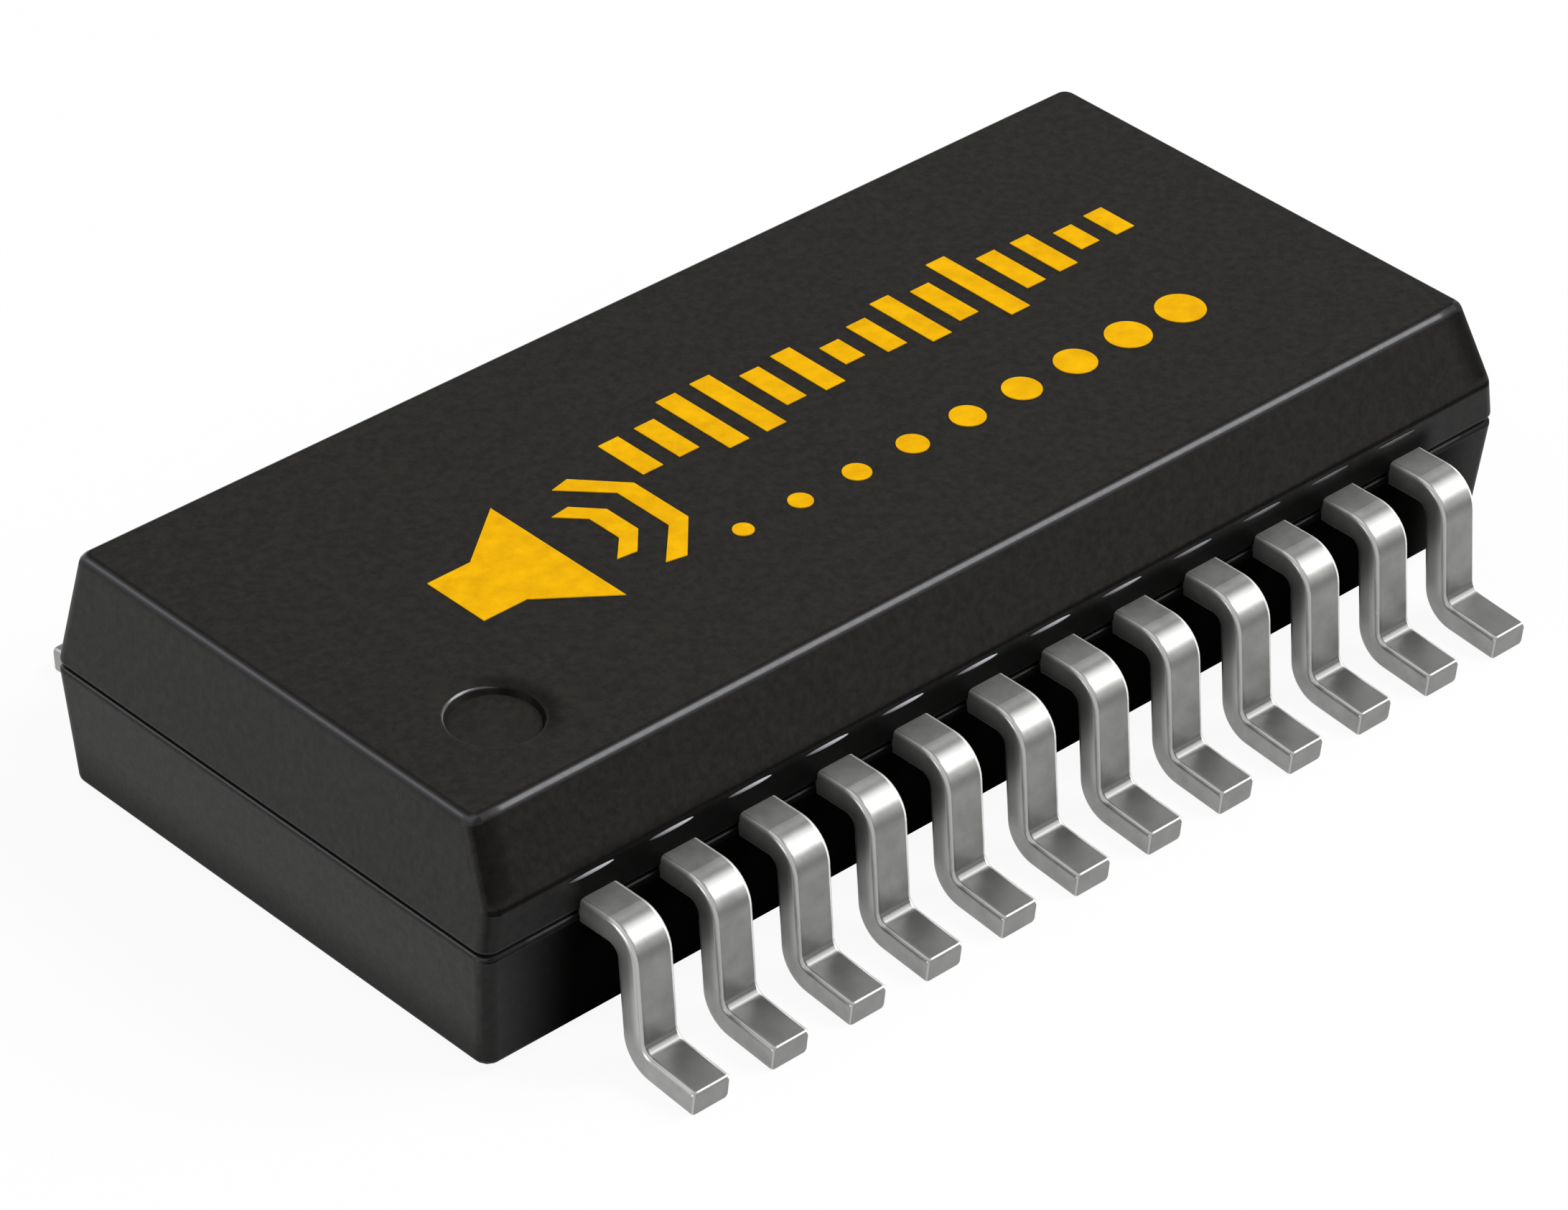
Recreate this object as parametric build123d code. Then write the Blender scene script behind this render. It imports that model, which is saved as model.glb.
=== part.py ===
from build123d import *
import math
import os

# A 24-lead gull-wing small-outline chip package, in millimetres.
# +X runs along the package from pin 1 towards pin 12, pins 1 to 12 are on the -Y side,
# +Z is up, and the origin is the middle of the plane that the feet stand on.

# Body, moulded in one shot, measured at the parting line
body_length = 8.76
body_width = 4.02
overall_height = 1.76
standoff = 0.07
parting_height = 0.945
upper_draft = 8.0
lower_draft = 4.5
corner_radius = 0.10
top_edge_radius = 0.08
bottom_edge_radius = 0.05

# Bevel and upright band on the long side of pin 1
band_height = 0.295
band_draft = 2.0
bevel_angle = 26.0
bevel_blend_radius = 0.12

# Fine groove where the two mould halves meet
groove_gap = 0.02
groove_depth = 0.04
lip_radius = 0.03

# Pin 1 dimple in the top, and ejector marks in the underside
dimple_radius = 0.31
dimple_depth = 0.05
dimple_wall_draft = 30.0
dimple_rim_radius = 0.035
dimple_from_end = 0.91
dimple_from_side = 0.95
ejector_mark_radius = 0.40
ejector_mark_depth = 0.02
ejector_mark_spacing = 4.40

# Leads, stamped from sheet and formed
leads_per_side = 12
pitch = 0.635
lead_width = 0.30
lead_thickness = 0.18
lead_edge_radius = 0.035
lead_span = 6.02
foot_length = 0.52
foot_angle = 5.0
leg_lean = 6.0
inner_bend_radius = 0.08
toe_edge_radius = 0.02

# Inner fingers of the leads
wall_bite = 0.15
finger_straight = 0.08
finger_width = 0.20
finger_gap = 0.20
finger_tip_pitch = 0.45
finger_tip_straight = 0.16
fan_in_length = 0.50
end_fingers = 2
end_finger_straight = 0.40

# Die paddle and its tie bars, from the same sheet
paddle_length = 3.20
paddle_width = 1.90
paddle_downset = 0.20
paddle_corner_radius = 0.12
tie_bar_width = 0.30
tie_bar_cover = 0.25
tie_bar_flat = 0.12

# Die and adhesive
die_length = 2.30
die_width = 1.40
die_thickness = 0.28
attach_thickness = 0.025
attach_margin = 0.06

# Bond wires
wire_diameter = 0.025
ball_diameter = 0.070
ball_height = 0.020
pad_inset = 0.10
pad_pitch = 0.26
end_pad_pitch = 0.28
neck_height = 0.09
loop_height = 0.15
loop_sag = 0.015
neck_reach_share = 0.10
crown_reach_share = 0.45
descent_reach_share = 0.80
descent_rise_share = 0.40
stitch_length = 0.05
stitch_from_tip = 0.04

# Derived places
half_length = body_length / 2
half_width = body_width / 2
lead_top = parting_height + lead_thickness / 2
lead_bottom = parting_height - lead_thickness / 2
paddle_level = parting_height - paddle_downset
paddle_top = paddle_level + lead_thickness / 2
die_bottom = paddle_top + attach_thickness
die_top = die_bottom + die_thickness
leads_per_quarter = leads_per_side // 2
side_fingers = leads_per_quarter - end_fingers


def run(rise, angle):
    """Horizontal run of a wall that leans by an angle over a rise."""
    return rise * math.tan(math.radians(angle))


def upright(points):
    """Face in the YZ plane from (y, z) points."""
    return Plane.YZ * make_face(Polyline(*points, close=True))


def mitred_strip(points, widths):
    """Outline of a strip along a bent line of 2-D points, with its width at each point."""
    headings = [
        math.atan2(b[1] - a[1], b[0] - a[0]) for a, b in zip(points, points[1:])
    ]
    before = [headings[0]] + headings
    after = headings + [headings[-1]]
    left = []
    right = []
    for (x, y), width, h0, h1 in zip(points, widths, before, after):
        normal = (h0 + h1) / 2 + math.pi / 2
        reach = width / 2 / math.cos((h1 - h0) / 2)
        left.append((x + reach * math.cos(normal), y + reach * math.sin(normal)))
        right.append((x - reach * math.cos(normal), y - reach * math.sin(normal)))
    return make_face(Polyline(*left, *reversed(right), close=True))


def slanting_edges(block):
    """Edges that climb from one level to another, which are the corners of a moulded half."""
    return block.edges().filter_by(
        lambda edge: edge.bounding_box().size.Z > groove_gap
    )


def mould_half(side_face, end_points):
    """One half of the body: its side profile along X, with both ends drafted, corners rounded."""
    along = extrude(side_face, half_length, both=True)
    ends = Plane.XZ * make_face(Polyline(*end_points, close=True))
    across = extrude(ends, half_width, both=True)
    half = along & across
    return fillet(slanting_edges(half), corner_radius)


def upper_half():
    """Upper half of the body, with the bevel and the band on its -Y side."""
    base = parting_height + groove_gap / 2
    rise = overall_height - base
    inset = run(rise, upper_draft)
    band_top = parting_height + band_height
    band_inset = run(band_top - base, band_draft)
    bevel_inset = band_inset + run(overall_height - band_top, bevel_angle)
    outline = upright([
        (-half_width, base),
        (-half_width + band_inset, band_top),
        (-half_width + bevel_inset, overall_height),
        (half_width - inset, overall_height),
        (half_width, base),
    ])
    bevel_corner = outline.vertices().sort_by_distance((0, -half_width + band_inset, band_top))[0]
    outline = fillet(bevel_corner, bevel_blend_radius)
    half = mould_half(outline, [
        (-half_length, base),
        (-half_length + inset, overall_height),
        (half_length - inset, overall_height),
        (half_length, base),
    ])
    half = fillet(half.faces().sort_by(Axis.Z)[-1].edges(), top_edge_radius)
    return fillet(half.faces().sort_by(Axis.Z)[0].edges(), lip_radius)


def lower_half():
    """Lower half of the body, drafted inwards all round."""
    top = parting_height - groove_gap / 2
    inset = run(top - standoff, lower_draft)
    outline = upright([
        (-half_width, top),
        (-half_width + inset, standoff),
        (half_width - inset, standoff),
        (half_width, top),
    ])
    half = mould_half(outline, [
        (-half_length, top),
        (-half_length + inset, standoff),
        (half_length - inset, standoff),
        (half_length, top),
    ])
    half = fillet(half.faces().sort_by(Axis.Z)[0].edges(), bottom_edge_radius)
    return fillet(half.faces().sort_by(Axis.Z)[-1].edges(), lip_radius)


def parting_web():
    """Slab behind the parting groove that joins the two halves."""
    outline = RectangleRounded(
        body_length - 2 * groove_depth, body_width - 2 * groove_depth, corner_radius
    )
    return Pos(Z=parting_height) * extrude(outline, groove_gap, both=True)


def pin_1_dimple():
    """Shallow round dimple with a sloping wall, to be cut from the top by pin 1."""
    floor_radius = dimple_radius - run(dimple_depth, dimple_wall_draft)
    dimple = Cone(
        floor_radius, dimple_radius, dimple_depth, align=(Align.CENTER, Align.CENTER, Align.MAX)
    )
    place = Pos(-half_length + dimple_from_end, -half_width + dimple_from_side, overall_height)
    return place * dimple


def ejector_marks():
    """Two faint round marks that the ejector pins leave in the underside."""
    mark = Cylinder(
        ejector_mark_radius, ejector_mark_depth, align=(Align.CENTER, Align.CENTER, Align.MIN)
    )
    places = GridLocations(ejector_mark_spacing, 0, 2, 1)
    return [Pos(Z=standoff) * place * mark for place in places]


def moulded_block():
    """The body before room is made in it for what it is moulded round."""
    block = upper_half() + parting_web() + lower_half()
    block -= pin_1_dimple()
    rim = block.edges().filter_by(GeomType.CIRCLE).filter_by(
        lambda edge: abs(edge.radius - dimple_radius) < 1e-6
    )
    block = fillet(rim, dimple_rim_radius)
    return block - ejector_marks()


def gull_wing():
    """Outer part of a lead on the -Y side at x = 0, from inside the wall to the toe."""
    lean = math.radians(leg_lean)
    slope = math.radians(foot_angle)
    half = lead_thickness / 2
    toe_lift = toe_edge_radius * (math.sin(slope) + math.cos(slope) - 1)
    toe = (-lead_span / 2 + half * math.sin(slope), half * math.cos(slope) - toe_lift)
    heel = (toe[0] + foot_length, toe[1] + run(foot_length, foot_angle))
    knee = (heel[0] + (parting_height - heel[1]) * math.tan(lean), parting_height)
    root = (-half_width + wall_bite, parting_height)
    bend = inner_bend_radius + half
    path = Plane.YZ * FilletPolyline(root, knee, heel, toe, radius=bend)
    section = Plane(origin=path @ 0, x_dir=(1, 0, 0), z_dir=path % 0)
    strip = sweep(section * RectangleRounded(lead_width, lead_thickness, lead_edge_radius), path)
    toe_face = strip.faces().sort_by(Axis.Y)[0]
    return fillet(toe_face.edges(), toe_edge_radius)


def finger_route(number):
    """Centre line, in plan, of the inner finger of one lead of the quarter at +X and -Y.

    Number 0 is the lead next to the middle of the row. The first fingers end along the
    paddle's long edge and the last ones turn in to its short end.
    """
    x = (number + 0.5) * pitch
    tip_edge_x = paddle_length / 2 + finger_gap
    tip_edge_y = -paddle_width / 2 - finger_gap
    start = (x, -half_width + wall_bite)
    if number < side_fingers:
        tip_x = (number + 0.5) * finger_tip_pitch
        inner_y = tip_edge_y - finger_tip_straight
        return [start, (x, inner_y - fan_in_length), (tip_x, inner_y), (tip_x, tip_edge_y)]
    place = number - side_fingers
    tip_y = tip_edge_y + (place + 0.5) * finger_tip_pitch
    inner_x = tip_edge_x + end_finger_straight * (1 + place)
    outer_y = tip_y - (x - inner_x)
    straight_y = min(max(outer_y, start[1] + finger_straight), tip_y)
    return [start, (x, straight_y), (inner_x, tip_y), (tip_edge_x, tip_y)]


def inner_finger(number):
    """Inner part of a lead, in the sheet's plane, from the wall to its tip by the die."""
    route = finger_route(number)
    widths = [lead_width, lead_width, finger_width, finger_width]
    return Pos(Z=lead_bottom) * extrude(mitred_strip(route, widths), lead_thickness)


def mirrored(piece, flip_x, flip_y):
    """A piece of the quarter at +X and -Y, taken to another quarter."""
    if flip_x:
        piece = mirror(piece, about=Plane.YZ)
    if flip_y:
        piece = mirror(piece, about=Plane.XZ)
    return piece


def pin_quarter(pin):
    """Place of a pin in its quarter, and whether its quarter is flipped in X and in Y."""
    flip_y = pin > leads_per_side
    column = 2 * leads_per_side - pin if flip_y else pin - 1
    flip_x = column < leads_per_quarter
    number = leads_per_quarter - 1 - column if flip_x else column - leads_per_quarter
    return number, flip_x, flip_y


def lead(pin):
    """One whole lead, inner finger and gull wing, as one solid."""
    number, flip_x, flip_y = pin_quarter(pin)
    outer = Pos(X=(number + 0.5) * pitch) * gull_wing_shape
    return mirrored(outer + inner_finger(number), flip_x, flip_y)


def die_paddle():
    """Paddle under the die, with a tie bar at each end that climbs back to the leads' level."""
    plate = Pos(Z=paddle_level - lead_thickness / 2) * extrude(
        RectangleRounded(paddle_length, paddle_width, paddle_corner_radius), lead_thickness
    )
    plate_end = paddle_length / 2
    centre_line = [
        (plate_end - tie_bar_flat, paddle_level),
        (plate_end + tie_bar_flat, paddle_level),
        (plate_end + tie_bar_flat + paddle_downset, parting_height),
        (half_length - tie_bar_cover, parting_height),
    ]
    side_view = mitred_strip(centre_line, [lead_thickness] * len(centre_line))
    tie_bar = extrude(Plane.XZ * side_view, tie_bar_width / 2, both=True)
    return plate + tie_bar + mirror(tie_bar, about=Plane.YZ)


def die_attach():
    """Thin layer of adhesive that squeezes out a little round the die."""
    outline = Rectangle(die_length + 2 * attach_margin, die_width + 2 * attach_margin)
    return Pos(Z=paddle_top) * extrude(outline, attach_thickness)


def die():
    """Silicon die on the adhesive."""
    return Pos(Z=die_bottom) * extrude(Rectangle(die_length, die_width), die_thickness)


def pad_place(number):
    """Middle of one bond pad of the quarter at +X and -Y."""
    edge_x = die_length / 2 - pad_inset
    edge_y = -die_width / 2 + pad_inset
    if number < side_fingers:
        return ((number + 0.5) * pad_pitch, edge_y)
    place = number - side_fingers + 1
    return (edge_x, edge_y + (place - 0.5) * end_pad_pitch)


def bond_wire(pin):
    """Bond wire of one pin: a ball on the die, a loop, and a stitch lying on the finger."""
    number, flip_x, flip_y = pin_quarter(pin)
    pad = Vector(*pad_place(number), 0)
    before_tip, tip = (Vector(*point, 0) for point in finger_route(number)[-2:])
    landing = tip + (before_tip - tip).normalized() * (stitch_from_tip + stitch_length)
    heading = (landing - pad).normalized()
    reach = (landing - pad).length - stitch_length
    start = die_top + ball_height
    rest = lead_top + wire_diameter / 2
    crown = start + loop_height
    profile = [
        (0, start),
        (0, start + neck_height),
        (neck_reach_share * reach, crown),
        (crown_reach_share * reach, crown - loop_sag),
        (descent_reach_share * reach, rest + descent_rise_share * (start - rest)),
        (reach, rest),
        (reach + stitch_length, rest),
    ]
    upright_plane = Plane(origin=pad, x_dir=heading, z_dir=heading.cross(Vector(0, 0, 1)))
    path = upright_plane * Polyline(*profile)
    section = Plane(origin=path @ 0, x_dir=heading, z_dir=(0, 0, 1))
    hexagon = section * RegularPolygon(wire_diameter / 2, 6, major_radius=False, rotation=30)
    wire = sweep(hexagon, path, transition=Transition.RIGHT)
    ball = section * Pos(Z=-ball_height) * extrude(RegularPolygon(ball_diameter / 2, 8), ball_height)
    return mirrored(wire + ball, flip_x, flip_y)


gull_wing_shape = gull_wing()
pins = range(1, 2 * leads_per_side + 1)
moulded_in = {f"lead_{pin:02d}": lead(pin) for pin in pins}
moulded_in["die_paddle"] = die_paddle()
moulded_in["die_attach"] = die_attach()
moulded_in["die"] = die()
moulded_in.update({f"bond_wire_{pin:02d}": bond_wire(pin) for pin in pins})

pieces = {"body": moulded_block() - list(moulded_in.values())}
pieces.update(moulded_in)

os.makedirs("parts", exist_ok=True)
for name, piece in pieces.items():
    export_step(piece, f"parts/{name}.step")
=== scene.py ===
import math
from types import SimpleNamespace

import bpy
from mathutils import Matrix, Vector


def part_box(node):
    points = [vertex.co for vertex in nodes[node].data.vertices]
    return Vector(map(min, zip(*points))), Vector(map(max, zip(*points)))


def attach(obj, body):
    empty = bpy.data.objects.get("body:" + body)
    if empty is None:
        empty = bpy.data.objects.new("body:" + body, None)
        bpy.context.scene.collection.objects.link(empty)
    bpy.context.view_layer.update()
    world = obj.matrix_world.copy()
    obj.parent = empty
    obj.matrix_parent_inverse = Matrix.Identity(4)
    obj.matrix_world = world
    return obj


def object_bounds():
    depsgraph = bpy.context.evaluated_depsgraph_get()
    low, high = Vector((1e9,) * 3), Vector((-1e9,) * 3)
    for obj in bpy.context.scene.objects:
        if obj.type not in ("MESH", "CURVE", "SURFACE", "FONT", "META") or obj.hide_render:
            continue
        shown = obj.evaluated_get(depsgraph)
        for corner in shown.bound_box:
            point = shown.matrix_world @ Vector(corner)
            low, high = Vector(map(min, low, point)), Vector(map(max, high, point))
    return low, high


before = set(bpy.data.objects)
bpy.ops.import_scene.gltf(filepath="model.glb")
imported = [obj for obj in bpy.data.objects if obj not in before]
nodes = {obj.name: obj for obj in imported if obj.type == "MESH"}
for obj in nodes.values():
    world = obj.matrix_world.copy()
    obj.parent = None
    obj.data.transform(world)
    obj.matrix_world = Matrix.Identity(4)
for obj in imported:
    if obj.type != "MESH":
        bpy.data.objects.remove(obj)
cad_low, cad_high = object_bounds()
mm = 0.001


# Moulded body
# One block of black epoxy, pressed round the lead frame in a steel mould: matte on top, smoother on the
# walls, with a burnish on the ridges from handling. Its black is painted lighter or darker face by face for
# how the light falls, its ridges are painted a lighter grey, partly wear and partly painted highlight, and
# painted shade lies behind the leads, in the dimple, at the bevel's ends and along folds and edges.

compound_grain = 0.022 * mm
compound_grain_height = 0.0010 * mm
compound_mottle = 0.060 * mm
mottle_stops = (0.35, 0.65)
soft_edge = 0.05 * mm
body_low, body_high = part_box("body")


def new_material(name):
    """A new material with its node tree and its principled shader."""
    material = bpy.data.materials.new(name)
    material.use_nodes = True
    tree = material.node_tree
    return material, tree, tree.nodes["Principled BSDF"]


def noise_on_object(tree, size, detail, roughness=0.5, stretch=(1, 1, 1)):
    """Noise with lumps of a given size in metres, on the piece's own coordinates."""
    place = tree.nodes.new("ShaderNodeTexCoord")
    mapping = tree.nodes.new("ShaderNodeMapping")
    mapping.inputs["Scale"].default_value = stretch
    noise = tree.nodes.new("ShaderNodeTexNoise")
    noise.inputs["Scale"].default_value = 1 / size
    noise.inputs["Detail"].default_value = detail
    noise.inputs["Roughness"].default_value = roughness
    tree.links.new(place.outputs["Object"], mapping.inputs["Vector"])
    tree.links.new(mapping.outputs["Vector"], noise.inputs["Vector"])
    return noise.outputs["Fac"]


def ramp(tree, value, stops):
    """A colour ramp from (place, colour) stops."""
    node = tree.nodes.new("ShaderNodeValToRGB")
    elements = node.color_ramp.elements
    while len(elements) < len(stops):
        elements.new(0.5)
    for element, (place, colour) in zip(elements, stops):
        element.position = place
        element.color = (*colour, 1)
    tree.links.new(value, node.inputs["Fac"])
    return node.outputs["Color"]


def two_tone(tree, value, stops, tones):
    """The first tone below the first stop, the second above the second, and a blend between them."""
    return ramp(tree, value, list(zip(stops, tones)))


def spread(tree, value, low, high):
    """A value between 0 and 1 taken to a range."""
    node = tree.nodes.new("ShaderNodeMapRange")
    node.inputs["To Min"].default_value = low
    node.inputs["To Max"].default_value = high
    tree.links.new(value, node.inputs["Value"])
    return node.outputs["Result"]


def ramp_between(tree, value, low, high):
    """0 below the low end, 1 above the high end, and a smooth rise between them."""
    node = tree.nodes.new("ShaderNodeMapRange")
    node.interpolation_type = "SMOOTHSTEP"
    node.inputs["From Min"].default_value = low
    node.inputs["From Max"].default_value = high
    tree.links.new(value, node.inputs["Value"])
    return node.outputs["Result"]


def maths(tree, operation, *values):
    """A maths node whose inputs are numbers or other nodes' outputs."""
    node = tree.nodes.new("ShaderNodeMath")
    node.operation = operation
    for socket, value in zip(node.inputs, values):
        if isinstance(value, bpy.types.NodeSocket):
            tree.links.new(value, socket)
        else:
            socket.default_value = value
    return node.outputs[0]


def in_turn(tree, operation, values):
    """One maths operation over all the values, from the first to the last."""
    result = values[0]
    for value in values[1:]:
        result = maths(tree, operation, result, value)
    return result


def product(tree, *values):
    """Numbers and other nodes' outputs, all multiplied together."""
    return in_turn(tree, "MULTIPLY", values)


def largest(tree, *values):
    """The largest of several nodes' outputs."""
    return in_turn(tree, "MAXIMUM", values)


def rest(tree, share):
    """What is left of 1 when a share is taken away."""
    return maths(tree, "SUBTRACT", 1, share)


def band(tree, value, edges):
    """0 outside four edges, which rise in order, 1 between the inner two, and smooth between the others."""
    rise = ramp_between(tree, value, *edges[:2])
    return product(tree, rise, rest(tree, ramp_between(tree, value, *edges[2:])))


def inside_ends(tree, end, x):
    """How far a place lies inside the nearer of two ends at like distances from the middle."""
    return maths(tree, "SUBTRACT", end, maths(tree, "ABSOLUTE", x))


def blend(tree, data_type, kind, share, first, second):
    """Goes from the first to the second as the share goes from 0 to 1. The second may be a plain colour."""
    node = tree.nodes.new("ShaderNodeMix")
    node.data_type = data_type
    sockets = {socket.identifier: socket for socket in [*node.inputs, *node.outputs]}
    tree.links.new(share, sockets["Factor_Float"])
    tree.links.new(first, sockets["A_" + kind])
    if isinstance(second, bpy.types.NodeSocket):
        tree.links.new(second, sockets["B_" + kind])
    else:
        sockets["B_" + kind].default_value = (*second, 1)
    return sockets["Result_" + kind]


def blend_value(tree, share, first, second):
    """A number that goes from the first to the second as the share goes from 0 to 1."""
    return blend(tree, "FLOAT", "Float", share, first, second)


def layered(tree, colour, layers):
    """A colour with each (share, colour) layer laid over it in turn."""
    for share, layer in layers:
        colour = blend(tree, "RGBA", "Color", share, colour, layer)
    return colour


def blend_shaders(tree, share, first, second):
    """A surface that goes from the first shader to the second as the share goes from 0 to 1."""
    node = tree.nodes.new("ShaderNodeMixShader")
    tree.links.new(share, node.inputs["Fac"])
    tree.links.new(first, node.inputs[1])
    tree.links.new(second, node.inputs[2])
    return node.outputs["Shader"]


def split(tree, coordinate):
    """The X, Y and Z of one of the piece's own coordinates, such as its place or the way a face looks."""
    node = tree.nodes.new("ShaderNodeSeparateXYZ")
    tree.links.new(tree.nodes.new("ShaderNodeTexCoord").outputs[coordinate], node.inputs[0])
    return node.outputs["X"], node.outputs["Y"], node.outputs["Z"]


def bump(tree, shader, height, distance):
    """Raises the surface by a height from 0 to 1 times a distance in metres."""
    node = tree.nodes.new("ShaderNodeBump")
    node.inputs["Strength"].default_value = 1.0
    node.inputs["Distance"].default_value = distance
    tree.links.new(height, node.inputs["Height"])
    tree.links.new(node.outputs["Normal"], shader.inputs["Normal"])


# A slope is the Z of a face's normal: 0 on an upright face and 1 on a level one. Forward faces look to -Y,
# where the long bevel is, and the forward turn swings that a little towards +X.

ridge_slopes = (0.45, 0.60, 0.90, 0.985)
end_facing = (0.80, 0.95)
forward_facing = (0.34, 0.50)
forward_turn = 0.3
crown_slopes = (0.60, 0.71, 0.83, 0.93)
crown_half_length = 4.06 * mm

dimple_centre = (body_low.x + 0.91 * mm, body_low.y + 0.95 * mm)
dimple_floor = 0.26 * mm
dimple_reach = 0.35 * mm


def from_dimple(tree):
    """How far a place is from the middle of the dimple, and how far along X."""
    place = tree.nodes.new("ShaderNodeMapping")
    place.inputs["Location"].default_value = (-dimple_centre[0], -dimple_centre[1], 0)
    place.inputs["Scale"].default_value = (1, 1, 0)
    tree.links.new(tree.nodes.new("ShaderNodeTexCoord").outputs["Object"], place.inputs["Vector"])
    radius = tree.nodes.new("ShaderNodeVectorMath")
    radius.operation = "LENGTH"
    tree.links.new(place.outputs["Vector"], radius.inputs[0])
    along = tree.nodes.new("ShaderNodeSeparateXYZ")
    tree.links.new(place.outputs["Vector"], along.inputs[0])
    return radius.outputs["Value"], along.outputs["X"]


def body_spot(tree):
    """A spot's place on the body, and how much of it is on an end, a ridge, the top or in the dimple."""
    spot = SimpleNamespace()
    spot.x, spot.y, spot.z = split(tree, "Object")
    facing_x, facing_y, spot.slope = split(tree, "Normal")
    spot.on_end = ramp_between(tree, maths(tree, "ABSOLUTE", facing_x), *end_facing)
    turned = maths(tree, "MULTIPLY_ADD", facing_x, forward_turn, maths(tree, "MULTIPLY", facing_y, -1))
    spot.forward = ramp_between(tree, turned, *forward_facing)
    spot.off_wall = ramp_between(tree, spot.slope, *ridge_slopes[:2])
    spot.on_top = ramp_between(tree, spot.slope, *ridge_slopes[2:])
    spot.radius, spot.along = from_dimple(tree)
    spot.in_dimple = rest(tree, ramp_between(tree, spot.radius, dimple_reach, dimple_reach + soft_edge))
    spot.out_of_dimple = rest(tree, spot.in_dimple)
    spot.crown = band(tree, spot.slope, crown_slopes)
    in_length = ramp_between(tree, inside_ends(tree, crown_half_length, spot.x), 0, soft_edge)
    spot.front_crown = product(tree, spot.crown, spot.forward, in_length)
    return spot


upright_slopes = (0.08, 0.24)
# Each face's tones are the one black compound painted lighter or darker for how the light falls on it.
upright_tones = ((0.0070, 0.0069, 0.0066), (0.0130, 0.0128, 0.0124))
bevel_tones = ((0.0028, 0.0024, 0.0018), (0.0110, 0.0100, 0.0082))
end_tones = ((0.0130, 0.0128, 0.0120), (0.0220, 0.0218, 0.0205))
top_tones = ((0.0056, 0.0051, 0.0040), (0.0152, 0.0142, 0.0120))
# The ridges' grey is partly wear and partly painted highlight; the crown's lighter grey is painted
# highlight.
ridge_wear_and_highlight = (0.026, 0.026, 0.029)
crown_highlight_grey = (0.045, 0.045, 0.050)


def compound_colour(tree, spot, mottle):
    """Mottled black painted lighter or darker face by face for how the light falls, and grey on the ridges,
    partly wear and partly painted highlight, lightest on the front crown.
    """
    upright, bevel, end, top = (
        two_tone(tree, mottle, mottle_stops, tones)
        for tones in (upright_tones, bevel_tones, end_tones, top_tones)
    )
    ridge = product(tree, spot.off_wall, rest(tree, spot.on_top), spot.out_of_dimple)
    return layered(tree, upright, [
        (ramp_between(tree, spot.slope, *upright_slopes), bevel),
        (spot.on_end, end),
        (spot.on_top, top),
        (ridge, ridge_wear_and_highlight),
        (spot.front_crown, crown_highlight_grey),
    ])


wall_roughness = (0.36, 0.52)
ridge_roughness = (0.26, 0.38)
top_roughness = (0.62, 0.82)


def compound_roughness(tree, spot, grain):
    """Smooth on the walls, smoother on the ridges and rough on the top."""
    wall, ridge, top = (
        spread(tree, grain, *ends) for ends in (wall_roughness, ridge_roughness, top_roughness)
    )
    return blend_value(tree, spot.on_top, blend_value(tree, spot.off_wall, wall, ridge), top)


front_crown_coat = (0.10, 0.55)
side_crown_coat = 0.40
rim_slopes = (0.46, 0.56, 0.93, 0.985)
burnish_roughness = 0.2


def burnish(tree, spot, mottle):
    """Patchy on the crown of the front ridge, even on the other ridges, and full on the dimple's rim."""
    front = product(tree, spot.front_crown, spread(tree, mottle, *front_crown_coat))
    side = product(tree, spot.crown, rest(tree, spot.forward), spot.out_of_dimple)
    rim = product(tree, band(tree, spot.slope, rim_slopes), spot.forward, spot.in_dimple)
    return largest(tree, maths(tree, "MULTIPLY_ADD", side, side_crown_coat, front), rim)


# The strip of painted shade on the wall behind the leads.
strip_top = 1.235 * mm
strip_fade = 0.15 * mm
strip_lean = 0.0135
strip_half_length = 3.70 * mm
strip_end_fade = 0.09 * mm
strip_low_end_fade = 0.75 * mm
strip_split = 0.93 * mm
strip_left_above = 0.2
strip_wall = 1.80 * mm


def shade_strip_behind_leads(tree, spot):
    """Painted shade behind the leads: full on the wall under the parting line, and a little weaker over it,
    up to the foot of the bevel.
    """
    leaned = maths(tree, "MULTIPLY_ADD", spot.x, strip_lean, spot.z)
    highest = strip_top + strip_lean * strip_half_length
    below = rest(tree, ramp_between(tree, leaned, highest - strip_fade, highest))
    from_end = inside_ends(tree, strip_half_length, spot.x)
    upper_end = ramp_between(tree, from_end, -strip_end_fade, strip_end_fade)
    lower_end = ramp_between(tree, from_end, -strip_low_end_fade, strip_end_fade)
    above = ramp_between(tree, spot.z, strip_split - soft_edge, strip_split)
    on_wall = ramp_between(tree, maths(tree, "ABSOLUTE", spot.y), strip_wall, strip_wall + soft_edge)
    strength = maths(tree, "MULTIPLY_ADD", above, -strip_left_above, 1)
    return product(tree, below, blend_value(tree, above, lower_end, upper_end), on_wall, strength)


dimple_wall_slopes = (0.54, 0.66)
dimple_wall_share = (0.15, 0.72)
dimple_margin = (0.33 * mm, 0.45 * mm)
dimple_margin_share = 0.5


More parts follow.
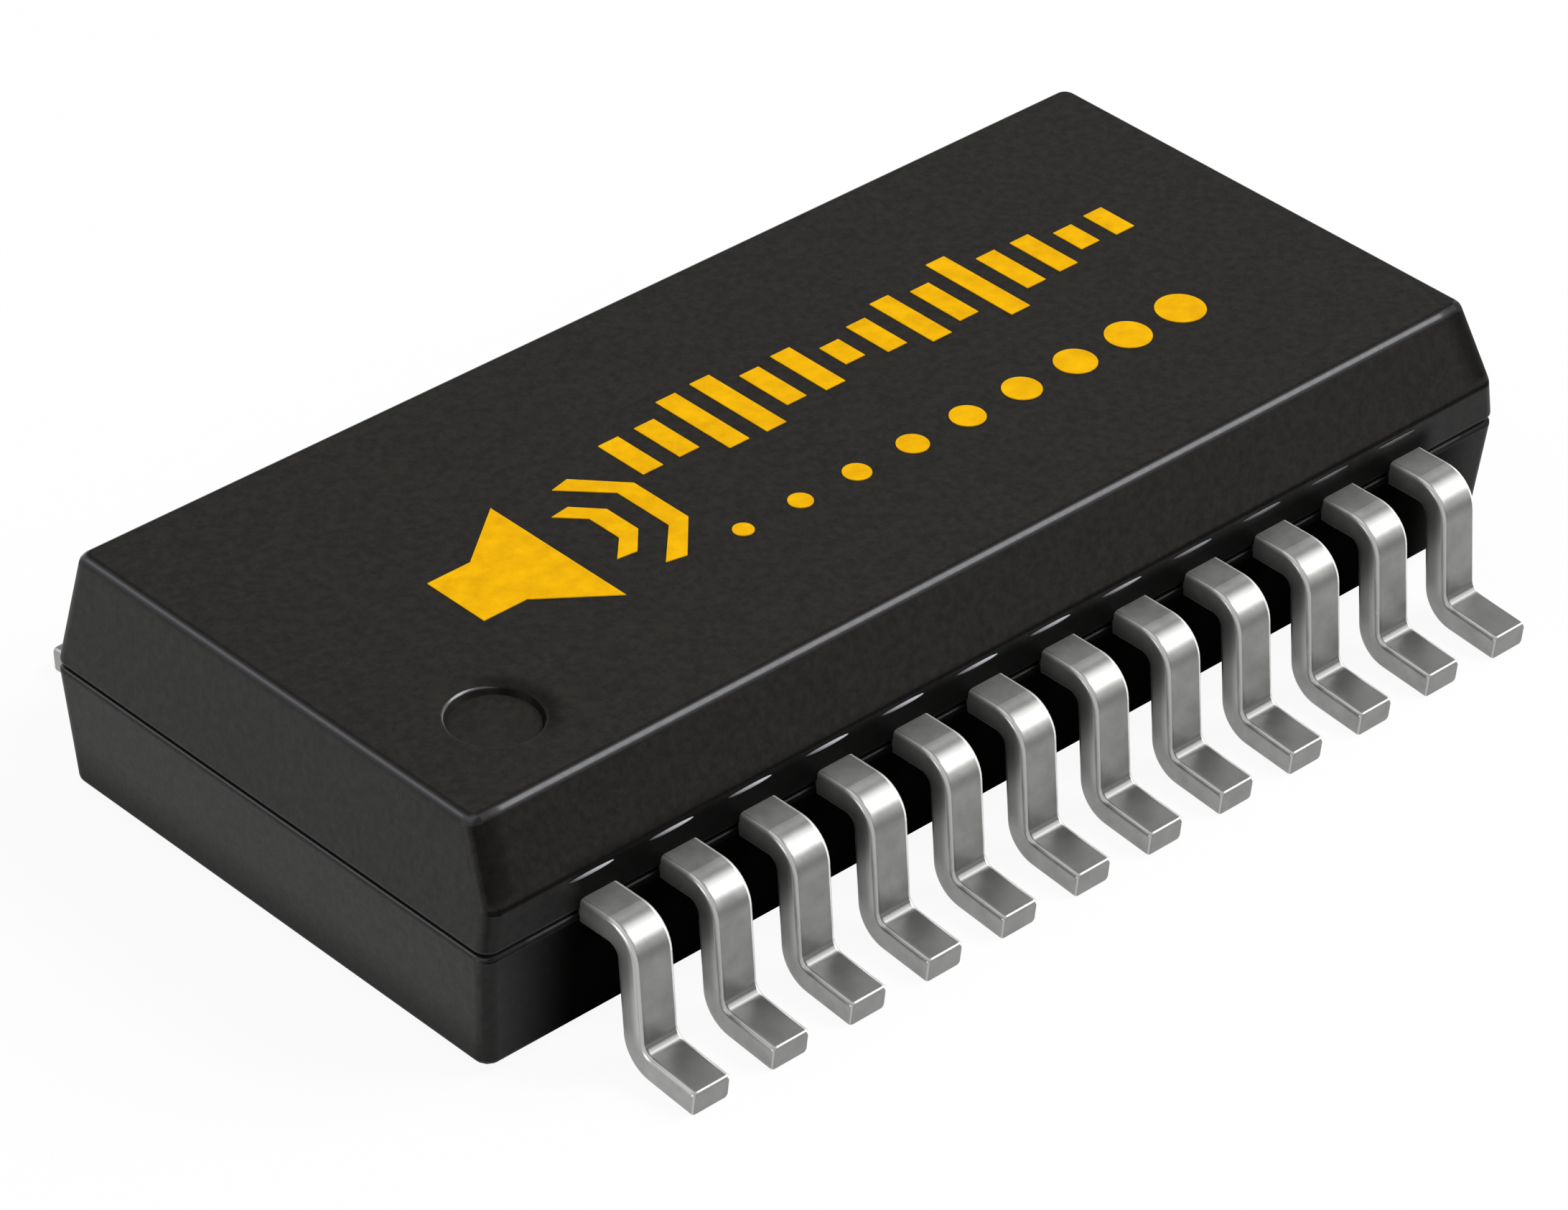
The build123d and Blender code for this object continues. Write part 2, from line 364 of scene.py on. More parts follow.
def dimple_shade(tree, spot):
    """Painted shade on the dimple's wall, darker towards +X, and on the margin round it on that side."""
    across = ramp_between(tree, spot.along, -dimple_floor, dimple_floor / 2)
    steep = rest(tree, ramp_between(tree, spot.slope, *dimple_wall_slopes))
    wall = product(tree, spot.in_dimple, steep, spread(tree, across, *dimple_wall_share))
    margin = product(
        tree,
        ramp_between(tree, spot.radius, dimple_floor, dimple_margin[0]),
        rest(tree, ramp_between(tree, spot.radius, *dimple_margin)),
        ramp_between(tree, spot.along, 0, dimple_floor),
        dimple_margin_share,
    )
    return largest(tree, wall, margin)


upper_draft = math.radians(8)
parting_height = 0.945 * mm
bevel_end_width = (0.12 * mm, 0.27 * mm)
bevel_foot = 1.26 * mm
bevel_end_share = 0.5


def bevel_ends(tree, spot):
    """Painted shade on the two short ends of the bevel, which stay darker than the rest of it."""
    draft = math.tan(upper_draft)
    end = maths(tree, "MULTIPLY_ADD", spot.z, -draft, body_high.x + parting_height * draft)
    near = rest(tree, ramp_between(tree, inside_ends(tree, end, spot.x), *bevel_end_width))
    on_bevel = ramp_between(tree, spot.z, bevel_foot, bevel_foot + soft_edge)
    return product(tree, near, spot.forward, on_bevel, bevel_end_share)


# Painted shade along the top's brink, the fold under the bevel, the front lip and the ends' foot.
brink_slopes = (0.88, 0.94, 0.985, 0.9985)
brink_share = 0.35
fold_slopes = (0.09, 0.17, 0.27, 0.38)
fold_share = 0.7
lip_top = 1.00 * mm
lip_share = 0.7
end_shade_top = 0.50 * mm
end_shade_share = 0.45


def painted_shade_edges(tree, spot):
    """Painted shade on the brink of the top, the fold under the bevel, the parting line's front lip and the
    ends' foot.
    """
    brink = product(tree, band(tree, spot.slope, brink_slopes), spot.out_of_dimple, brink_share)
    fold = product(tree, band(tree, spot.slope, fold_slopes), spot.forward, fold_share)
    below_lip = rest(tree, ramp_between(tree, spot.z, lip_top - soft_edge, lip_top))
    lip = product(tree, spot.off_wall, below_lip, spot.forward, lip_share)
    low = rest(tree, ramp_between(tree, spot.z, body_low.z, end_shade_top))
    return largest(tree, brink, fold, lip, product(tree, spot.on_end, low, end_shade_share))


compound_specular = 0.12
# The dead black of all the painted shade on the body.
painted_shade_colour = (0.0024, 0.0022, 0.0020)


def moulding_compound():
    """Black epoxy with a burnish on the ridges, turned to a dead black diffuse where painted shade lies."""
    material, tree, shader = new_material("moulding_compound")
    mottle = noise_on_object(tree, compound_mottle, detail=4, roughness=0.72)
    grain = noise_on_object(tree, compound_grain, detail=4, roughness=0.65)
    spot = body_spot(tree)
    tree.links.new(compound_colour(tree, spot, mottle), shader.inputs["Base Color"])
    tree.links.new(compound_roughness(tree, spot, grain), shader.inputs["Roughness"])
    tree.links.new(burnish(tree, spot, mottle), shader.inputs["Coat Weight"])
    shader.inputs["Coat Roughness"].default_value = burnish_roughness
    shader.inputs["Specular IOR Level"].default_value = compound_specular
    bump(tree, shader, grain, compound_grain_height)

    # A dead black diffuse surface laid over every spot of painted shade.
    painted_shade_node = tree.nodes.new("ShaderNodeBsdfDiffuse")
    painted_shade_node.inputs["Color"].default_value = (*painted_shade_colour, 1)
    shaded = [part(tree, spot) for part in (shade_strip_behind_leads, dimple_shade, bevel_ends, painted_shade_edges)]
    black = largest(tree, *shaded)
    surface = blend_shaders(tree, black, shader.outputs["BSDF"], painted_shade_node.outputs["BSDF"])
    tree.links.new(surface, tree.nodes["Material Output"].inputs["Surface"])
    return material


def dress(names, material):
    """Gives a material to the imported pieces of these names."""
    for name in names:
        slots = nodes[name].data.materials
        slots.clear()
        slots.append(material)


dress(["body"], moulding_compound())


# Glint ribs
# Short thin ribs of compound on the upright band over the twelve leads of the front row, each painted with
# a bright glint towards its +X end, the glints fading along the row towards +X.

pitch = 0.635 * mm
leads_per_side = 12
first_lead = -(leads_per_side - 1) / 2 * pitch

rib_step = 0.631 * mm
rib_shift = -0.058 * mm
rib_wall = 2.002 * mm
rib_height = 1.19 * mm
rib_half_length = 0.178 * mm
rib_depth = 0.012 * mm
rib_half_height = 0.012 * mm
rib_segments = 40
rib_rings = 16

rib_dull = (0.02, 0.02, 0.022)
# The ribs' painted glint, and how it fades along the row.
rib_glint = (0.42, 0.42, 0.46)
rib_glint_from = 0.6
rib_fade = (-0.8 * mm, 3.3 * mm)
rib_fade_share = 0.99
rib_roughness = (0.22, 0.34)
rib_streak_stretch = (0.2, 1, 1)
rib_specular = 0.25


def row_tree(name, labels):
    """A tree of named inputs that sets a shape on each point of a straight row."""
    tree = bpy.data.node_groups.new(name, "GeometryNodeTree")
    tree.interface.new_socket("Geometry", in_out="OUTPUT", socket_type="NodeSocketGeometry")
    tree.interface.new_socket("Count", in_out="INPUT", socket_type="NodeSocketInt")
    for label in ("First", "Step"):
        tree.interface.new_socket(label, in_out="INPUT", socket_type="NodeSocketVector")
    for label in labels:
        tree.interface.new_socket(label, in_out="INPUT", socket_type="NodeSocketFloat")
    return tree


def vector(tree, x, y, z):
    """A vector whose parts are other nodes' outputs."""
    node = tree.nodes.new("ShaderNodeCombineXYZ")
    for socket, value in zip(node.inputs, (x, y, z)):
        tree.links.new(value, socket)
    return node.outputs["Vector"]


def finish_row(tree, shape, size, material):
    """Sets a shape, scaled to its size, on each point of the row, as real mesh with its material."""
    given = tree.nodes.new("NodeGroupInput").outputs
    line = tree.nodes.new("GeometryNodeMeshLine")
    tree.links.new(given["Count"], line.inputs["Count"])
    tree.links.new(given["First"], line.inputs["Start Location"])
    tree.links.new(given["Step"], line.inputs["Offset"])
    copies = tree.nodes.new("GeometryNodeInstanceOnPoints")
    tree.links.new(line.outputs["Mesh"], copies.inputs["Points"])
    tree.links.new(shape, copies.inputs["Instance"])
    tree.links.new(size, copies.inputs["Scale"])
    real = tree.nodes.new("GeometryNodeRealizeInstances")
    tree.links.new(copies.outputs["Instances"], real.inputs["Geometry"])
    paint = tree.nodes.new("GeometryNodeSetMaterial")
    paint.inputs["Material"].default_value = material
    tree.links.new(real.outputs["Geometry"], paint.inputs["Geometry"])
    out = tree.nodes.new("NodeGroupOutput")
    tree.links.new(paint.outputs["Geometry"], out.inputs["Geometry"])


def run_tree(name, tree, values):
    """Runs a tree on an empty mesh and gives back the mesh that it makes."""
    carrier = bpy.data.objects.new(name, bpy.data.meshes.new(name))
    bpy.context.scene.collection.objects.link(carrier)
    modifier = carrier.modifiers.new("row", "NODES")
    modifier.node_group = tree
    for item in tree.interface.items_tree:
        if item.item_type == "SOCKET" and item.in_out == "INPUT":
            modifier[item.identifier] = values[item.name]
    seen = bpy.context.evaluated_depsgraph_get()
    mesh = bpy.data.meshes.new_from_object(carrier.evaluated_get(seen))
    mesh.name = name
    bpy.data.objects.remove(carrier)
    return mesh


def add_to_body(name, mesh, material):
    """Links a mesh of the scene's own with its material, and makes it part of the body."""
    piece = bpy.data.objects.new(name, mesh)
    bpy.context.scene.collection.objects.link(piece)
    mesh.materials.clear()
    mesh.materials.append(material)
    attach(piece, "root")


def painted_glint_compound():
    """A painted glint: brightest near each rib's +X end, dull at its -X end, and duller towards +X along the
    row.
    """
    material, tree, shader = new_material("painted_glint_compound")
    x = split(tree, "Object")[0]
    along = maths(tree, "ADD", x, rib_step / 2 - first_lead - rib_shift)
    stroke = maths(tree, "FRACT", maths(tree, "DIVIDE", along, rib_step))
    half_stroke = rib_half_length / rib_step
    stroke_stops = (0.5 - half_stroke, 0.5 + rib_glint_from * half_stroke)
    streaked = two_tone(tree, stroke, stroke_stops, (rib_dull, rib_glint))
    weaker = product(tree, ramp_between(tree, x, *rib_fade), rib_fade_share)
    tree.links.new(layered(tree, streaked, [(weaker, rib_dull)]), shader.inputs["Base Color"])
    streak = noise_on_object(tree, compound_grain, detail=3, stretch=rib_streak_stretch)
    tree.links.new(spread(tree, streak, *rib_roughness), shader.inputs["Roughness"])
    shader.inputs["Specular IOR Level"].default_value = rib_specular
    return material


def ribs_tree(material):
    """Long thin ribs that taper to both ends."""
    tree = row_tree("glint_ribs", ("Half length", "Depth", "Half height"))
    given = tree.nodes.new("NodeGroupInput").outputs
    ball = tree.nodes.new("GeometryNodeMeshUVSphere")
    ball.inputs["Segments"].default_value = rib_segments
    ball.inputs["Rings"].default_value = rib_rings
    ball.inputs["Radius"].default_value = 1
    size = vector(tree, given["Half length"], given["Depth"], given["Half height"])
    finish_row(tree, ball.outputs["Mesh"], size, material)
    return tree


glint_material = painted_glint_compound()
ribs = run_tree("glint_ribs", ribs_tree(glint_material), {
    "Count": leads_per_side,
    "First": (first_lead + rib_shift, -rib_wall, rib_height),
    "Step": (rib_step, 0.0, 0.0),
    "Half length": rib_half_length,
    "Depth": rib_depth,
    "Half height": rib_half_height,
})
ribs.polygons.foreach_set("use_smooth", [True] * len(ribs.polygons))
add_to_body("glint_ribs", ribs, glint_material)


# Leads
# Twenty-four strips stamped from one sheet of copper alloy, formed into gull wings once the body is moulded,
# and plated with matte tin. The long edges and the toes carry painted highlights, the leg's cut side is
# painted light at the front and shaded at the back, and painted shade lies on the bends, the shoulder's
# crest, the leg's front, the foot and where the lead passes the parting groove.

tin_blotch = 0.16 * mm
blotch_stops = (0.3, 0.7)
tin_streak = 0.012 * mm
tin_streak_stretch = (1, 0.12, 0.12)
tin_streak_height = 0.0002 * mm
tin_roughness = (0.27, 0.36)
tin_metal_share = 0.65
tin_tones = ((0.25, 0.25, 0.243), (0.34, 0.34, 0.332))

outward_facing = (0.5, 0.8)
foot_top = 0.45 * mm


def lead_spot(tree):
    """A spot's place on a lead, how it faces, and how much of it looks outward or is on the foot."""
    spot = SimpleNamespace()
    _, y, spot.z = split(tree, "Object")
    spot.reach = maths(tree, "ABSOLUTE", y)
    spot.facing_x, facing_y, spot.slope = split(tree, "Normal")
    spot.outward = ramp_between(tree, maths(tree, "ABSOLUTE", facing_y), *outward_facing)
    spot.on_foot = rest(tree, ramp_between(tree, spot.z, foot_top - soft_edge, foot_top))
    return spot


# A dull grey for the painted shade on the foot, the heel and the leg's front.
tin_shade = (0.085, 0.085, 0.082)
foot_shade_slopes = (0.30, 0.60)
foot_shade_share = 0.60
heel_slopes = (0.35, 0.55, 0.80, 0.92)
heel_share = 0.92
leg_slopes = (0.08, 0.28)
leg_share = 0.33
leg_foot_heights = (0.22 * mm, 0.27 * mm, 0.30 * mm, 0.56 * mm)
leg_foot_share = 0.55


def foot_and_leg_shade(tree, spot):
    """Painted shade on the top of the foot, the heel over it, and the front of the leg, most of all at its
    foot.
    """
    flat = product(tree, spot.on_foot, ramp_between(tree, spot.slope, *foot_shade_slopes), foot_shade_share)
    heel = product(tree, spot.on_foot, band(tree, spot.slope, heel_slopes), heel_share)
    upright = rest(tree, ramp_between(tree, spot.slope, *leg_slopes))
    leg = product(tree, spot.outward, upright, leg_share)
    leg_foot = product(tree, band(tree, spot.z, leg_foot_heights), spot.outward, leg_foot_share)
    return largest(tree, flat, heel, leg, leg_foot)


# A dull grey for the painted shade on the bends and the shoulder's crest.
tin_bend_shade = (0.11, 0.11, 0.107)
bend_shade_slopes = (0.08, 0.30, 0.34, 0.56)
bend_shade_share = 0.7
crest_slopes = (0.78, 0.86, 0.95, 0.99)
crest_share = 0.6


def bend_and_crest_shade(tree, spot):
    """Painted shade on the outside of the bends, and on the crest of the shoulder."""
    bends = product(tree, band(tree, spot.slope, bend_shade_slopes), spot.outward, bend_shade_share)
    off_foot = rest(tree, spot.on_foot)
    return largest(tree, bends, product(tree, band(tree, spot.slope, crest_slopes), off_foot, crest_share))


lead_thickness = 0.18 * mm
leg_lean = math.radians(6)
leg_plane = 2.587 * mm
side_facing = (0.85, 0.97)
leg_side_heights = (0.18 * mm, 0.38 * mm, 0.80 * mm, 0.98 * mm)
# The leg's cut side is painted light at the front and shaded at the back.
leg_side_painted_tones = ((0.10, (0.48, 0.48, 0.47)), (0.45, (0.21, 0.21, 0.205)), (0.90, (0.12, 0.12, 0.117)))


def leg_side(tree, spot):
    """The cut side of the leg, and its tin, painted light at the front and shaded towards the back."""
    leaned = maths(tree, "MULTIPLY_ADD", spot.z, math.tan(leg_lean), spot.reach)
    behind = maths(tree, "DIVIDE", maths(tree, "SUBTRACT", leg_plane, leaned), lead_thickness)
    on_side = ramp_between(tree, maths(tree, "ABSOLUTE", spot.facing_x), *side_facing)
    return product(tree, on_side, band(tree, spot.z, leg_side_heights)), ramp(tree, behind, leg_side_painted_tones)


# Painted highlights on the long edges, those facing -X and those facing +X, and on the toe.
tin_minus_x_glint = (0.46, 0.46, 0.45)
minus_x_glint_facing = (0.30, 0.50, 0.78, 0.92)
tin_plus_x_glint = (0.95, 0.95, 0.94)
plus_x_glint_facing = (0.05, 0.20, 0.80, 0.95)
tin_toe_glint = (0.34, 0.34, 0.33)
toe_slopes = (0.25, 0.50, 0.85, 0.98)
toe_length = 0.06 * mm
# Painted shade on the lead where it passes the parting groove.
tin_groove_shade = (0.008, 0.008, 0.008)
groove_reach = (1.93 * mm, 1.95 * mm, 1.990 * mm, 2.012 * mm)


def tin_plate():
    """Matte tin, blotched and finely streaked, with painted shade and painted highlights laid over it in
    turn.
    """
    material, tree, shader = new_material("matte_tin_plate")
    blotch = noise_on_object(tree, tin_blotch, detail=4, roughness=0.6)
    streak = noise_on_object(tree, tin_streak, detail=2, stretch=tin_streak_stretch)
    spot = lead_spot(tree)
    minus_x_glint = band(tree, maths(tree, "MULTIPLY", spot.facing_x, -1), minus_x_glint_facing)
    at_toe = ramp_between(tree, spot.reach, cad_high.y - toe_length, cad_high.y)
    toe = product(tree, at_toe, band(tree, spot.slope, toe_slopes))
    plate = layered(tree, two_tone(tree, blotch, blotch_stops, tin_tones), [
        (foot_and_leg_shade(tree, spot), tin_shade),
        (bend_and_crest_shade(tree, spot), tin_bend_shade),
        leg_side(tree, spot),
        (minus_x_glint, tin_minus_x_glint),
        (toe, tin_toe_glint),
        (band(tree, spot.facing_x, plus_x_glint_facing), tin_plus_x_glint),
        (band(tree, spot.reach, groove_reach), tin_groove_shade),
    ])
    tree.links.new(plate, shader.inputs["Base Color"])
    tree.links.new(spread(tree, blotch, *tin_roughness), shader.inputs["Roughness"])
    shader.inputs["Metallic"].default_value = tin_metal_share
    bump(tree, shader, streak, tin_streak_height)
    return material


leads = [name for name in nodes if name.startswith("lead_")]
dress(leads, tin_plate())


# Die paddle, die, adhesive and bond wires
# The bare copper paddle with the silicon die glued on it, and gold wires from the die to the leads' fingers.
# They are sealed in the compound and come to light only when it is taken away.

sealed_blotch = 0.2 * mm
sealed_roughness_swing = 0.05
copper_tones = ((0.72, 0.34, 0.20), (0.86, 0.48, 0.32))
glue_tones = ((0.38, 0.38, 0.37), (0.50, 0.50, 0.49))
silicon_tones = ((0.05, 0.06, 0.09), (0.09, 0.10, 0.14))
gold_tones = ((0.85, 0.58, 0.18), (0.95, 0.70, 0.28))


def sealed_finish(name, tones, roughness, metal_share):
    """A softly blotched finish for a piece inside the body."""
    material, tree, shader = new_material(name)
    blotch = noise_on_object(tree, sealed_blotch, detail=3)
    rough = spread(tree, blotch, roughness - sealed_roughness_swing, roughness + sealed_roughness_swing)
    tree.links.new(two_tone(tree, blotch, blotch_stops, tones), shader.inputs["Base Color"])
    tree.links.new(rough, shader.inputs["Roughness"])
    shader.inputs["Metallic"].default_value = metal_share
    return material


bond_wires = [name for name in nodes if name.startswith("bond_wire_")]
dress(["die_paddle"], sealed_finish("bare_copper", copper_tones, roughness=0.32, metal_share=1.0))
dress(["die_attach"], sealed_finish("silver_adhesive", glue_tones, roughness=0.55, metal_share=0.4))
dress(["die"], sealed_finish("polished_silicon", silicon_tones, roughness=0.12, metal_share=0.6))
dress(bond_wires, sealed_finish("gold_wire", gold_tones, roughness=0.2, metal_share=1.0))


# Yellow marks
# Epoxy ink printed on the flat top in one pass: a loudspeaker sign, a row of level bars, and under it
# a row of dots that grow. The film is a few thousandths of a millimetre thick and semi-matte.

ink_thickness = 0.006 * mm
ink_sink = 0.0005 * mm
ink_film = ink_thickness + ink_sink
ink_top = cad_high.z + ink_thickness
ink_middle = ink_top - ink_film / 2
ink_tones = ((0.74, 0.37, 0.001), (0.92, 0.49, 0.001))
ink_mottle = 0.12 * mm
ink_grain_height = 0.0006 * mm
ink_roughness = 0.65
ink_specular = 0.05

sign_centre = (-2.02 * mm, -0.03 * mm)
magnet_half_height = 0.26 * mm
magnet_back = -0.86 * mm
magnet_front = -0.52 * mm
cone_front = -0.04 * mm
cone_half_height = 0.62 * mm
wave_stroke = 0.15 * mm
wave_lean = 0.55
wave_flare = 1.06
wave_fronts = ((0.34 * mm, 0.30 * mm), (0.66 * mm, 0.52 * mm))


def yellow_ink():
    """Semi-matte ink, a little uneven in tone, that lets the grain under it show."""
    material, tree, shader = new_material("yellow_ink")
    mottle = noise_on_object(tree, ink_mottle, detail=4, roughness=0.6)
    grain = noise_on_object(tree, compound_grain, detail=3)
    tree.links.new(two_tone(tree, mottle, blotch_stops, ink_tones), shader.inputs["Base Color"])
    shader.inputs["Roughness"].default_value = ink_roughness
    shader.inputs["Specular IOR Level"].default_value = ink_specular
    bump(tree, shader, grain, ink_grain_height)
    return material


def prism(outline, low, high):
    """Closed flat piece over an outline of (x, y) points, anticlockwise."""
    count = len(outline)
    corners = [(x, y, low) for x, y in outline] + [(x, y, high) for x, y in outline]
    faces = [tuple(reversed(range(count))), tuple(range(count, 2 * count))]
    for i in range(count):
        j = (i + 1) % count
        faces.append((i, j, j + count, i + count))
    return corners, faces


def wave_outline(front, half_height):
    """One straight-sided wave front: a flat middle and two ends that lean back."""
    inner = [
        (front - wave_lean * half_height, -half_height),
        (front, -half_height * (1 - wave_lean)),
        (front, half_height * (1 - wave_lean)),
        (front - wave_lean * half_height, half_height),
    ]
    return [(x + wave_stroke, y * wave_flare) for x, y in inner] + inner[::-1]


def loudspeaker_mesh():
    """The loudspeaker sign as one mesh of flat closed shapes."""
    horn = [
        (magnet_back, -magnet_half_height),
        (magnet_front, -magnet_half_height),
        (cone_front, -cone_half_height),
        (cone_front, cone_half_height),
        (magnet_front, magnet_half_height),
        (magnet_back, magnet_half_height),
    ]
    corners, faces = [], []
    for outline in [horn] + [wave_outline(*wave) for wave in wave_fronts]:
        placed = [(x + sign_centre[0], y + sign_centre[1]) for x, y in outline]
        points, sides = prism(placed, cad_high.z - ink_sink, ink_top)
        faces += [tuple(i + len(corners) for i in side) for side in sides]
        corners += points
    mesh = bpy.data.meshes.new("loudspeaker_sign")
    mesh.from_pydata(corners, [], faces)
    return mesh


bar_count = 15
bars_from = -1.02 * mm
bars_to = 3.22 * mm
bars_middle = 0.46 * mm
bar_width = 0.165 * mm
bar_tallest = 0.80 * mm
bar_shortest = 0.22 * mm
slow_turn = 0.45
slow_start = 0.35
quick_turn = 1.25
quick_share = 0.75

dot_count = 9
dots_from = -1.05 * mm
dots_to = 2.80 * mm
dots_middle = -0.60 * mm
smallest_dot = 0.07 * mm
largest_dot = 0.17 * mm
dot_corners = 40


def grown(tree, given, share):
    """A size that goes from the row's smallest to its largest as the share goes from 0 to 1."""
    span = maths(tree, "SUBTRACT", given["Largest"], given["Smallest"])
    return maths(tree, "MULTIPLY_ADD", share, span, given["Smallest"])


def level_bars_tree(material):
    """Upright bars whose heights swell and fall as a spoken sound does, a quick wave on a slow one."""
    tree = row_tree("level_bars", ("Width", "Smallest", "Largest", "Thickness"))
    given = tree.nodes.new("NodeGroupInput").outputs
    place = tree.nodes.new("GeometryNodeInputIndex").outputs["Index"]
    slow_angle = maths(tree, "MULTIPLY_ADD", place, slow_turn, slow_start)
    slow = maths(tree, "ABSOLUTE", maths(tree, "SINE", slow_angle))
    quick_angle = maths(tree, "MULTIPLY", place, quick_turn)
    quick = maths(tree, "ABSOLUTE", maths(tree, "COSINE", quick_angle))
    steady = maths(tree, "MULTIPLY", slow, 1 - quick_share)
    swell = maths(tree, "MULTIPLY_ADD", maths(tree, "MULTIPLY", slow, quick), quick_share, steady)
    cube = tree.nodes.new("GeometryNodeMeshCube")
    cube.inputs["Size"].default_value = (1, 1, 1)
    size = vector(tree, given["Width"], grown(tree, given, swell), given["Thickness"])
    finish_row(tree, cube.outputs["Mesh"], size, material)
    return tree


def growing_dots_tree(material):
    """Round dots that grow evenly along the row."""
    tree = row_tree("growing_dots", ("Smallest", "Largest", "Thickness"))
    given = tree.nodes.new("NodeGroupInput").outputs
    place = tree.nodes.new("GeometryNodeInputIndex").outputs["Index"]
    share = maths(tree, "DIVIDE", place, maths(tree, "SUBTRACT", given["Count"], 1))
    radius = grown(tree, given, share)
    disc = tree.nodes.new("GeometryNodeMeshCylinder")
    disc.inputs["Vertices"].default_value = dot_corners
    disc.inputs["Radius"].default_value = 1
    disc.inputs["Depth"].default_value = 1
    size = vector(tree, radius, radius, given["Thickness"])
    finish_row(tree, disc.outputs["Mesh"], size, material)
    return tree


def row_values(count, start, end, middle, small, large):
    """The named inputs that both printed rows have."""
    return {
        "Count": count,
        "First": (start, middle, ink_middle),
        "Step": ((end - start) / (count - 1), 0.0, 0.0),
        "Smallest": small,
        "Largest": large,
        "Thickness": ink_film,
    }


ink = yellow_ink()
bar_values = row_values(bar_count, bars_from, bars_to, bars_middle, bar_shortest, bar_tallest)
bar_values["Width"] = bar_width
dot_values = row_values(dot_count, dots_from, dots_to, dots_middle, smallest_dot, largest_dot)

add_to_body("loudspeaker_sign", loudspeaker_mesh(), ink)
add_to_body("level_bars", run_tree("level_bars", level_bars_tree(ink), bar_values), ink)
add_to_body("growing_dots", run_tree("growing_dots", growing_dots_tree(ink), dot_values), ink)


# Studio
# A white table and plain white surroundings, with one large softbox high at the front right, a weak one
# overhead, a low one at the left and a small one behind on the left, which picks out the short ridge.

table_half = 400 * mm
table_white = (0.90, 0.90, 0.90)
table_glow_share = 0.93
sky_for_object = 0.25
lamp_aim = Vector((0, 0, 0.9 * mm))

table_corners = [(x * table_half, y * table_half, 0) for x, y in ((-1, -1), (1, -1), (1, 1), (-1, 1))]
table_mesh = bpy.data.meshes.new("table_top")
table_mesh.from_pydata(table_corners, [], [(0, 1, 2, 3)])
table = bpy.data.objects.new("table_top", table_mesh)
bpy.context.scene.collection.objects.link(table)


def seen_rays(tree):
    """1 for camera, glossy and transmission rays, which see the white surroundings, and 0 for the rest."""
    path = tree.nodes.new("ShaderNodeLightPath").outputs
    return largest(tree, path["Is Camera Ray"], path["Is Glossy Ray"], path["Is Transmission Ray"])


def white_table():
    """Matte white that glows to the rays that see it, and still takes the object's shadow."""
    material = bpy.data.materials.new("white_table")
    material.use_nodes = True
    tree = material.node_tree
    tree.nodes.clear()
    matte = tree.nodes.new("ShaderNodeBsdfDiffuse")
    matte.inputs["Color"].default_value = (*table_white, 1)
    glow = tree.nodes.new("ShaderNodeEmission")
    glow.inputs["Strength"].default_value = 1.0
    share = product(tree, seen_rays(tree), table_glow_share)
    surface = blend_shaders(tree, share, matte.outputs["BSDF"], glow.outputs["Emission"])
    out = tree.nodes.new("ShaderNodeOutputMaterial")
    tree.links.new(surface, out.inputs["Surface"])
    return material


table_mesh.materials.append(white_table())

room = bpy.data.worlds.new("white_room")
room.use_nodes = True
bpy.context.scene.world = room
sky = room.node_tree.nodes["Background"]
sky.inputs["Color"].default_value = (1, 1, 1, 1)
sky_strength = spread(room.node_tree, seen_rays(room.node_tree), sky_for_object, 1.0)
room.node_tree.links.new(sky_strength, sky.inputs["Strength"])


